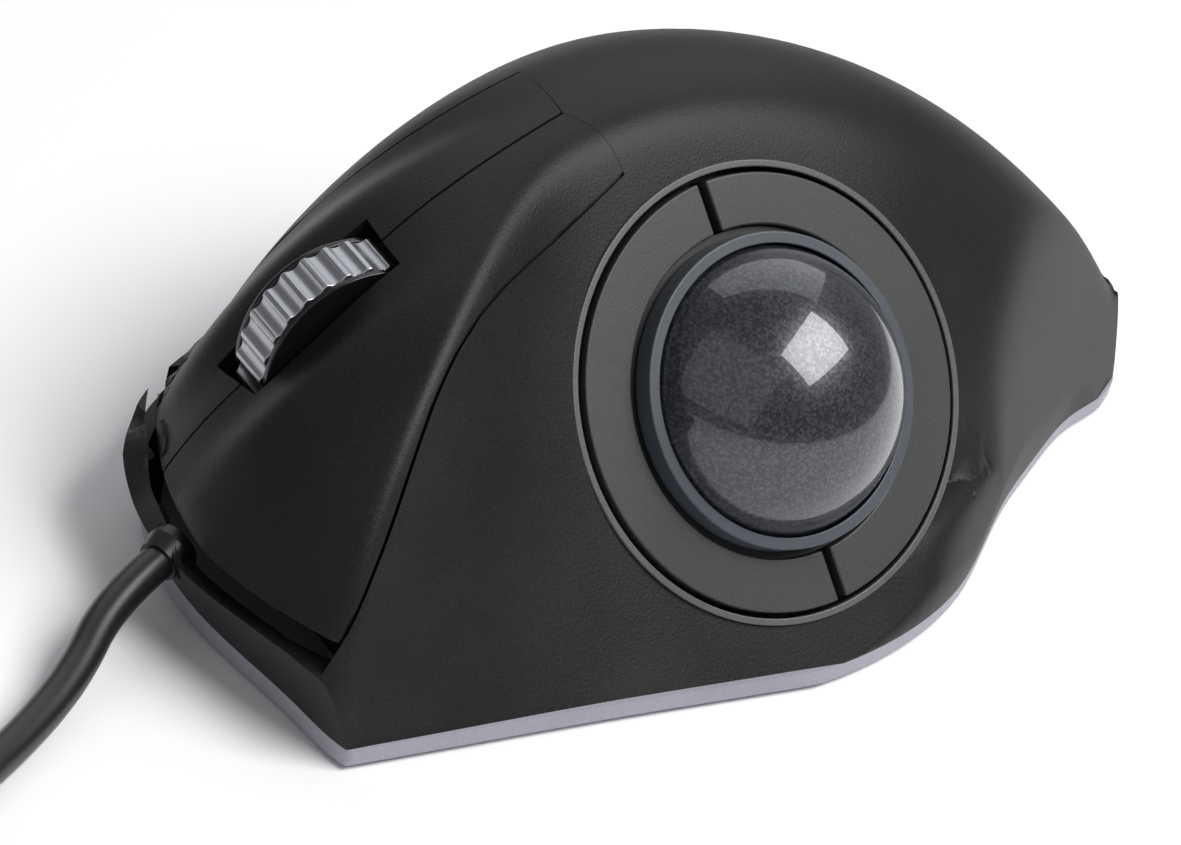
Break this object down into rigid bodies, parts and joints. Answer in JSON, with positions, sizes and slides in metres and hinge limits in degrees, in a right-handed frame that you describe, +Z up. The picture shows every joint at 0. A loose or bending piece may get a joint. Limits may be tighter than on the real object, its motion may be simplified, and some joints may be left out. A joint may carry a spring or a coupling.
{
  "type": "computer mouse",
  "caption": "Wired right-handed mouse with a thumb trackball on its left flank, scroll wheel, two finger keys and split ring buttons around the ball.",
  "frame": {"origin": "middle of the footprint of the mouse without its free cable, on the surface that it stands on", "axes": "+Z up, +Y towards the finger keys and the cable, +X to the right, so the thumb ball looks towards -X"},
  "size_m": [0.1011, 0.2464, 0.053],
  "materials": {
    "shell_black": "fine moulded grain, soft sheen",
    "trim_grey": "light moulded satin",
    "housing_black": "moulded",
    "bezel_grey": "satin",
    "retainer_grey": "satin",
    "thumb_key_grey": "fine grain",
    "ball_gunmetal": "polished with fine metallic flake",
    "wheel_silver": "satin metallic",
    "wheel_black": "moulded",
    "pin_steel": "turned",
    "carrier_black": "moulded",
    "encoder_green": "moulded",
    "board_green": "solder mask",
    "chip_black": "moulded",
    "lens_clear": "clear",
    "connector_cream": "moulded",
    "switch_black": "moulded",
    "plunger_white": "moulded",
    "screw_steel": "zinc plated",
    "foot_slick": "slick",
    "bearing_steel": "polished",
    "cable_black": "satin jacket",
    "tie_black": "moulded strip",
    "plug_black": "moulded",
    "plug_steel": "nickel plated",
    "tongue_white": "moulded"
  },
  "bodies": {
    "case": {"top_shell": "shell_black", "base_plate": "trim_grey", "case_screw_1": "screw_steel", "case_screw_2": "screw_steel", "case_screw_3": "screw_steel", "case_screw_4": "screw_steel", "glide_foot_1": "foot_slick", "glide_foot_2": "foot_slick", "glide_foot_3": "foot_slick", "glide_foot_4": "foot_slick", "glide_foot_5": "foot_slick", "glide_foot_6": "foot_slick", "main_board": "board_green", "board_screw_1": "screw_steel", "board_screw_2": "screw_steel", "board_screw_3": "screw_steel", "board_screw_4": "screw_steel", "controller_chip": "chip_black", "cable_connector": "connector_cream", "left_switch": "switch_black", "right_switch": "switch_black", "middle_switch": "switch_black", "ball_housing": "housing_black", "bezel": "bezel_grey", "retaining_ring": "retainer_grey", "bearing_ball_1": "bearing_steel", "bearing_ball_2": "bearing_steel", "bearing_ball_3": "bearing_steel", "sensor_lens": "lens_clear", "sensor_chip": "chip_black", "sensor_board": "board_green", "thumb_board_front": "board_green", "thumb_board_rear": "board_green", "thumb_switch_front": "switch_black", "thumb_switch_rear": "switch_black", "cable_gland": "cable_black", "cable_lead": "cable_black", "cable_coil": "cable_black", "cable_tail": "cable_black", "coil_tie": "tie_black", "plug_body": "plug_black", "plug_shell": "plug_steel", "plug_tongue": "tongue_white"},
    "left_key": {"left_key": "shell_black"},
    "right_key": {"right_key": "shell_black"},
    "left_plunger": {"left_plunger": "plunger_white"},
    "right_plunger": {"right_plunger": "plunger_white"},
    "middle_plunger": {"middle_plunger": "plunger_white"},
    "wheel_carrier": {"wheel_carrier": "carrier_black", "wheel_encoder": "encoder_green"},
    "wheel": {"wheel_band": "wheel_silver", "wheel_hub": "wheel_black", "wheel_axle": "pin_steel"},
    "thumb_key_front": {"thumb_button_front": "thumb_key_grey"},
    "thumb_key_rear": {"thumb_button_rear": "thumb_key_grey"},
    "thumb_plunger_front": {"thumb_plunger_front": "plunger_white"},
    "thumb_plunger_rear": {"thumb_plunger_rear": "plunger_white"},
    "ball": {"ball": "ball_gunmetal"}
  },
  "joints": [
    {"name": "left_key_press", "type": "hinge", "parent": "case", "child": "left_key", "pos_m": [0.00178, 0.02133, 0.0475], "axis": [-1, 0, 0], "range_deg": [0, 0.7], "stiffness_Nm_per_rad": 2, "springref_deg": -0.34},
    {"name": "right_key_press", "type": "hinge", "parent": "case", "child": "right_key", "pos_m": [0.00178, 0.02133, 0.0475], "axis": [-1, 0, 0], "range_deg": [0, 0.7], "stiffness_Nm_per_rad": 2, "springref_deg": -0.34},
    {"name": "left_plunger_travel", "type": "slide", "parent": "case", "child": "left_plunger", "axis": [0, 0, -1], "range_m": [0, 0.00042]},
    {"name": "right_plunger_travel", "type": "slide", "parent": "case", "child": "right_plunger", "axis": [0, 0, -1], "range_m": [0, 0.00034]},
    {"name": "wheel_click", "type": "slide", "parent": "case", "child": "wheel_carrier", "axis": [0, 0, -1], "range_m": [0, 0.0004], "stiffness_N_per_m": 1200, "springref_m": -0.0003},
    {"name": "middle_plunger_travel", "type": "slide", "parent": "case", "child": "middle_plunger", "axis": [0, 0, -1], "range_m": [0, 0.00042]},
    {"name": "wheel_spin", "type": "hinge", "parent": "wheel_carrier", "child": "wheel", "pos_m": [0.00028, 0.04803, 0.0263], "axis": [1, 0, 0], "continuous": true},
    {"name": "thumb_key_front_press", "type": "slide", "parent": "case", "child": "thumb_key_front", "axis": [0.7902, 0, -0.6129], "range_m": [0, 0.0005], "stiffness_N_per_m": 1000, "springref_m": -0.0003},
    {"name": "thumb_key_rear_press", "type": "slide", "parent": "case", "child": "thumb_key_rear", "axis": [0.7902, 0, -0.6129], "range_m": [0, 0.0005], "stiffness_N_per_m": 1000, "springref_m": -0.0003},
    {"name": "thumb_plunger_front_travel", "type": "slide", "parent": "case", "child": "thumb_plunger_front", "axis": [0.7902, 0, -0.6129], "range_m": [0, 0.00052]},
    {"name": "thumb_plunger_rear_travel", "type": "slide", "parent": "case", "child": "thumb_plunger_rear", "axis": [0.7902, 0, -0.6129], "range_m": [0, 0.00052]},
    {"name": "ball_roll", "type": "hinge", "parent": "case", "child": "ball", "pos_m": [-0.01551, 0.00403, 0.02513], "axis": [0, 1, 0], "continuous": true}
  ],
  "couplings": [
    {"joint": "left_plunger_travel", "follows": "left_key_press", "m_per_rad": 0.033},
    {"joint": "right_plunger_travel", "follows": "right_key_press", "m_per_rad": 0.0255},
    {"joint": "middle_plunger_travel", "follows": "wheel_click", "ratio": 1},
    {"joint": "thumb_plunger_front_travel", "follows": "thumb_key_front_press", "ratio": 1},
    {"joint": "thumb_plunger_rear_travel", "follows": "thumb_key_rear_press", "ratio": 1}
  ]
}
